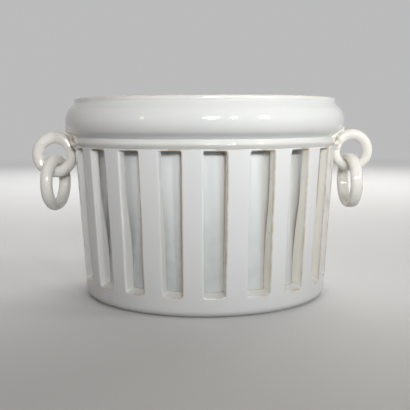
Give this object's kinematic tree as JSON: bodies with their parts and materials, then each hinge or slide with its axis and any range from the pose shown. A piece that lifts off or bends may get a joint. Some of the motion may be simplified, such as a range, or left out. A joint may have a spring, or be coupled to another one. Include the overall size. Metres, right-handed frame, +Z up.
{
  "type": "openwork planter",
  "caption": "Round glazed earthenware planter with a pierced outer wall of upright slats, a plain inner pot, a heavy roll rim and free-hanging ring handles at the sides.",
  "frame": {"origin": "centre of the foot, on the surface the planter stands on", "axes": "+Z up, -Y towards the front, +X to the right ring handle"},
  "size_m": [0.3735, 0.3004, 0.21],
  "materials": {
    "glaze_outer_wall": "glossy white tin glaze",
    "glaze_inner_pot": "glossy white tin glaze, cooler and thinner",
    "glaze_rim": "glossy white tin glaze",
    "glaze_handles": "glossy white tin glaze, pooled cream"
  },
  "bodies": {
    "vessel": {"pot_floor": "glaze_inner_pot", "pot_wall": "glaze_inner_pot", "base_band": "glaze_outer_wall", "slat_01": "glaze_outer_wall", "slat_02": "glaze_outer_wall", "slat_03": "glaze_outer_wall", "slat_04": "glaze_outer_wall", "slat_05": "glaze_outer_wall", "slat_06": "glaze_outer_wall", "slat_07": "glaze_outer_wall", "slat_08": "glaze_outer_wall", "slat_09": "glaze_outer_wall", "slat_10": "glaze_outer_wall", "slat_11": "glaze_outer_wall", "slat_12": "glaze_outer_wall", "slat_13": "glaze_outer_wall", "slat_14": "glaze_outer_wall", "slat_15": "glaze_outer_wall", "slat_16": "glaze_outer_wall", "slat_17": "glaze_outer_wall", "slat_18": "glaze_outer_wall", "slat_19": "glaze_outer_wall", "slat_20": "glaze_outer_wall", "top_band": "glaze_outer_wall", "string_moulding": "glaze_rim", "roll_moulding": "glaze_rim", "lip_collar": "glaze_rim", "left_loop": "glaze_handles", "left_loop_pad": "glaze_handles", "right_loop": "glaze_handles", "right_loop_pad": "glaze_handles"},
    "left_hanging_ring": {"left_ring": "glaze_handles"},
    "right_hanging_ring": {"right_ring": "glaze_handles"}
  },
  "joints": [
    {"name": "left_ring_swing", "type": "hinge", "parent": "vessel", "child": "left_hanging_ring", "pos_m": [-0.1642, 0, 0.1285], "axis": [0.9877, -0.1564, 0], "range_deg": [-100, 100]},
    {"name": "right_ring_swing", "type": "hinge", "parent": "vessel", "child": "right_hanging_ring", "pos_m": [0.1599, 0, 0.133], "axis": [0.9945, 0.1045, 0], "range_deg": [-100, 100]}
  ]
}
